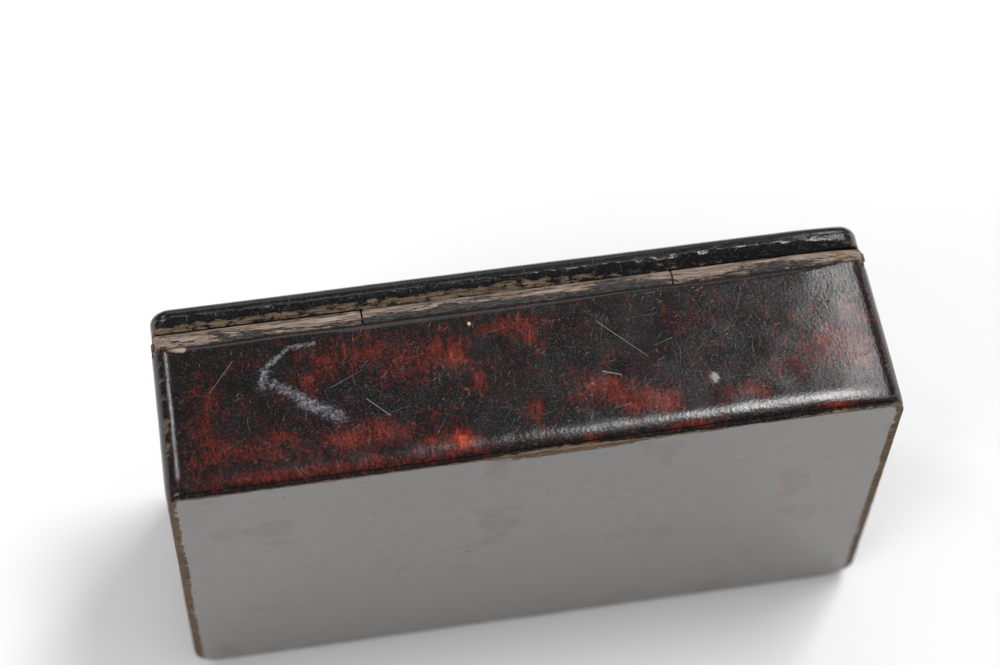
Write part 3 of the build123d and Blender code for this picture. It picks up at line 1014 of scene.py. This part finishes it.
def knock_chips(points):
    """Shell-shaped chips broken out of the top and upright edges of the cake."""
    chances = np.random.default_rng(7)
    for _ in range(CHIPS):
        side = chances.integers(4)
        along = chances.uniform(-1, 1)
        radius = chances.uniform(0.7, 2.6)
        lift = chances.uniform(0.35, 0.8) * radius
        facing, across = side % 2 == 0, 1 if side in (1, 2) else -1
        outward = np.array([0, across, 0] if facing else [across, 0, 0])
        x = CAKE_MIDDLE.x + CAKE_HALF.x * (along if facing else across)
        y = CAKE_MIDDLE.y + CAKE_HALF.y * (across if facing else along)
        z = CAKE_HIGH.z if chances.uniform() < 0.75 else chances.uniform(LOWEST_CHIP, CAKE_HIGH.z)
        upward = np.array([0, 0, 0.7 if z == CAKE_HIGH.z else 0.0])
        centre = np.array([x, y, z]) + lift * (outward + upward)
        away = points - centre
        distance = np.linalg.norm(away, axis=-1)
        ripple = radius * (1 + 0.02 * np.sin(distance * 9.0) + 0.03 * wave(points, 0.8, 11.0))
        struck = distance < ripple
        points[struck] = centre + away[struck] * (ripple[struck] / distance[struck])[:, None]
    return points


def cake_piece():
    points, faces = closed_rings(cake_shape())
    middle = np.array(CAKE_MIDDLE)
    before = points.copy()
    points = knock_chips(points)
    inside = np.clip(points, np.array(CAKE_LOW), np.array(CAKE_HIGH))
    points = np.where(np.abs(points - middle) > np.abs(before - middle) + 1.5, before, inside)
    points[:, 2] += 0.03 * wave(points, 5.0, 2.0)
    piece = add_piece("rosin_block", points, faces, "box", ["rosin_cake"], "rosin", rosin_material)
    sharpen(piece, 38)


def cloth_shape():
    """Rings of the folded cloth: under the cake, up the box's walls, over in soft folds and back down."""
    middle, half = (CLOTH_LOW + CLOTH_HIGH) / 2, (CLOTH_HIGH - CLOTH_LOW) / 2
    collar = half - CAKE_HALF
    low, fold_foot = CLOTH_LOW.z, CLOTH_HIGH.z - 1.7

    def level(share, inset, z):
        """A level ring; share 0 is the outside of the cloth and 1 its inside face against the cake."""
        hx = half.x - 0.5 - share * (collar.x - 0.6)
        hy = half.y - 0.4 - share * (collar.y - 0.5)
        plan = plan_loop(hx, hy, (4.0 - 1.2 * share,) * 4, inset, CONTENT_STEPS)
        return at_height(plan + (0, middle.y), z)

    def ring(share, z, fold):
        points = level(share, 0.0, z)
        pleat = wave(points, (4.5, 4.5, 40.0), 5.0) + 0.6 * wave(points, (2.0, 2.0, 30.0), 15.0)
        points += plan_outward(points[:, :2]) * (fold * 0.8 * pleat)[:, None]
        points[:, 2] += fold * (0.9 * wave(points, (6.0, 6.0, 40.0), 25.0) - 0.5)
        return points

    loops = [level(0.0, inset, low + 0.25) for inset in np.linspace(half.y - 1.0, 1.2, 14)]
    loops += [ring(0.0, *rise) for rise in np.linspace((low + 0.9, 0.1), (fold_foot, 0.9), 9)]
    for share in np.linspace(0.06, 0.94, 9):
        loops.append(ring(share, fold_foot + 0.9 * math.sin(math.pi * share), 1.0))
    loops += [ring(1.0, *fall) for fall in np.linspace((fold_foot, 0.5), (CAKE_LOW.z + 0.2, 0.0), 8)]
    inner = np.linspace(collar.y + 0.8, half.y - 1.0, 10)
    return np.array(loops + [level(0.0, inset, CAKE_LOW.z - 0.45) for inset in inner])


PUFF_SCALE = 10.0  # the cloth solver works better on a cloth of ordinary size
PUFF_FRAMES = 20


def puff(points, faces, voxel, cap):
    """Blow a skin up a little by cloth simulation, no point by more than cap, and return the new skin."""
    worker = place_object("puff", mesh_of("puff", points, faces, PUFF_SCALE))
    remesh = worker.modifiers.new("remesh", "REMESH")
    remesh.mode, remesh.voxel_size = "VOXEL", voxel * MM * PUFF_SCALE
    bake(worker)
    start = end = point_array(worker) / PUFF_SCALE
    sim = worker.modifiers.new("cloth", "CLOTH")
    sim.settings.use_pressure = True
    sim.settings.uniform_pressure_force = 4.0
    sim.settings.effector_weights.gravity = 0.0
    sim.settings.quality = 6
    for number in range(1, PUFF_FRAMES + 1):
        bpy.context.scene.frame_set(number)
    bake(worker)
    end = point_array(worker) / PUFF_SCALE
    bpy.context.scene.frame_set(1)
    step = end - start
    length = np.linalg.norm(step, axis=1)
    step *= np.minimum(1.0, cap / np.maximum(length, 1e-6))[:, None]
    new_faces = [tuple(face.vertices) for face in worker.data.polygons]
    bpy.data.objects.remove(worker)
    return start + step, new_faces


def cloth_piece():
    points, faces = closed_rings(cloth_shape())
    skin, faces = puff(points, faces, voxel=0.62, cap=0.9)
    skin += 0.10 * wave(skin, 1.6, 4.0)[:, None] * np.array([0.3, 0.3, 1.0])
    skin = np.clip(skin, np.array(CLOTH_LOW) + 0.03, np.array(CLOTH_HIGH) - 0.03)
    middle = np.array(CAKE_MIDDLE)
    depth = np.array(CAKE_HALF) + CLOTH_CLEARANCE - np.abs(skin - middle)
    depth[:, 2] = skin[:, 2] - CAKE_LOW.z + CLOTH_CLEARANCE
    inside = (depth > 0).all(axis=1)
    nearest = depth.argmin(axis=1)
    way = np.sign(skin - middle)
    way[:, 2] = -1
    for axis in range(3):
        skin[:, axis] += np.where(inside & (nearest == axis), (depth * way)[:, axis], 0.0)
    piece = add_piece("rosin_cloth_folded", skin, faces, "box", ["rosin_cloth"], "cake_cloth",
                      cloth_material)
    smooth = piece.modifiers.new("smooth", "SUBSURF")
    smooth.levels = smooth.render_levels = 1


walls = wall_grid()
for side, wall_name in enumerate(("front_wall", "right_wall", "back_wall", "left_wall")):
    wall = wall_piece(walls, side, wall_name)
    paint_red(wall)
    paint_body_wear(wall)

base = base_piece()
paint_red(base, 0.7)
paint_body_wear(base)

lid = lid_piece()
paint_red(lid)
paint_lid_wear(lid)

hinge_pieces()


def dress(node, material):
    """Give a carried-over CAD node its material."""
    carried = frame["nodes"][node]
    carried.data.materials.clear()
    carried.data.materials.append(material)
    return carried


dress("hinge_pin", brass_material)
dress("pin_plugs", filler_material)
for strip_name in ("lid_lip_front", "lid_lip_left", "lid_lip_right"):
    strip_node = dress(strip_name, lining_material)
    ease = strip_node.modifiers.new("ease", "BEVEL")
    ease.width, ease.segments = 0.2 * MM, 3

cloth_piece()
cake_piece()


# Studio: a pale table and soft lights. The box stands on its front wall, as it was photographed,
# while the camera is below the box's own floor level, and on its bottom for any camera above it.
CAMERA_DROP = math.radians(60.8)
CAMERA_TURN = math.radians(11.96)
CAMERA_ROLL = math.radians(3.12)
CAMERA_DISTANCE = 3.767 * LENGTH
AIM = Vector((0.027 * LENGTH, HALF_Y, 0.63 * HEIGHT))


def make_camera():
    data = bpy.data.cameras.new("camera")
    data.lens = 99.4
    data.sensor_width = 36.0
    data.clip_start, data.clip_end = 0.01, 20.0
    forward = Vector((-math.cos(CAMERA_DROP) * math.sin(CAMERA_TURN), -math.sin(CAMERA_DROP),
                      math.cos(CAMERA_DROP) * math.cos(CAMERA_TURN)))
    level_right = forward.cross(Vector((0, 1, 0))).normalized()
    level_up = level_right.cross(forward)
    right = level_right * math.cos(CAMERA_ROLL) + level_up * math.sin(CAMERA_ROLL)
    up = right.cross(forward)
    camera = place_object("camera", data)
    turn = Matrix((right, up, -forward)).transposed().to_4x4()
    camera.matrix_world = Matrix.Translation((AIM - forward * CAMERA_DISTANCE) * MM) @ turn
    bpy.context.scene.camera = camera
    return camera


def follow_camera(thing, path, index, camera, when_below, when_above):
    """One channel of thing has one value while the camera is below the floor level, another above."""
    curve = thing.driver_add(path, index)
    for modifier in list(curve.modifiers):
        curve.modifiers.remove(modifier)
    curve.driver.type = "SUM"
    height = curve.driver.variables.new()
    height.type = "TRANSFORMS"
    height.targets[0].id = camera
    height.targets[0].transform_type = "LOC_Z"
    height.targets[0].transform_space = "WORLD_SPACE"
    curve.keyframe_points.add(2)
    for key, (level, value) in zip(curve.keyframe_points, ((-0.05, when_below), (0.0, when_above))):
        key.co = (level, value)
        key.interpolation = "CONSTANT"
    curve.update()


TABLE_REACH = 3000.0


def make_studio(camera):
    studio = place_object("studio")
    follow_camera(studio, "rotation_euler", 0, camera, -math.pi / 2, 0.0)
    follow_camera(studio, "location", 1, camera, -HALF_Y * MM, 0.0)

    g = Graph("pale_table")
    tone = g.mix(g.rise(g.cloud(180.0, detail=1.0), 0.3, 0.7), (0.80, 0.80, 0.802), (0.81, 0.81, 0.81))
    far_glow = g.rise(g.vector("LENGTH", g.place), 350.0, 1500.0, 0.0, 0.42)
    g.finish(Base_Color=tone, Roughness=0.7, Emission_Color=(1.0, 1.0, 1.0), Emission_Strength=far_glow)
    corners = [(x, y, 0.0) for x, y in ((-1, -1), (1, -1), (1, 1), (-1, 1))]
    table = place_object("table", mesh_of("table", corners, [(0, 1, 2, 3)], TABLE_REACH))
    table.data.materials.append(g.material)
    table.parent = studio

    # name, place over the table (m), diameter (m), power (W)
    lights = (
        ("overhead", (-0.24, -0.11, 0.75), 0.21, 2.6),
        ("overhead_end", (-0.38, -0.42, 0.69), 0.18, 1.5),
        ("left_side", (0.46, -0.36, 0.58), 0.18, 0.8),
        ("far_side", (0.0, -0.80, 0.48), 0.50, 0.6),
        ("near_left", (0.66, 0.42, 0.50), 0.50, 2.7),
        ("near_right", (-0.70, 0.36, 0.50), 0.50, 0.4),
    )
    for name, place, size, power in lights:
        data = bpy.data.lights.new(name, "AREA")
        data.shape = "DISK"
        data.size = size
        data.energy = power
        light = place_object(name, data)
        light.parent = studio
        light.location = place
        light.rotation_euler = (-Vector(place)).to_track_quat("-Z", "Y").to_euler()
        light.visible_camera = False


def make_world():
    """Grey air, bright in what it lights softly and pale where the camera sees it."""
    world = bpy.data.worlds.new("studio_air")
    bpy.context.scene.world = world
    world.use_nodes = True
    g = Tree(world.node_tree)
    rays = g.add("ShaderNodeLightPath").outputs
    air = g.mix(rays["Is Diffuse Ray"], (0.10, 0.10, 0.104), (0.50, 0.50, 0.50))
    air = g.mix(rays["Is Camera Ray"], air, (0.85, 0.85, 0.85))
    g.set(g.tree.nodes["Background"].inputs["Color"], air)


camera = make_camera()
make_studio(camera)
make_world()

focus = place_object("focus")
focus.location = Vector((0, HALF_Y, 0.6 * HEIGHT)) * MM
camera.data.dof.use_dof = True
camera.data.dof.focus_object = focus
camera.data.dof.aperture_fstop = 16.0

scene = bpy.context.scene
scene.view_settings.view_transform = "Standard"
scene.cycles.use_denoising = True
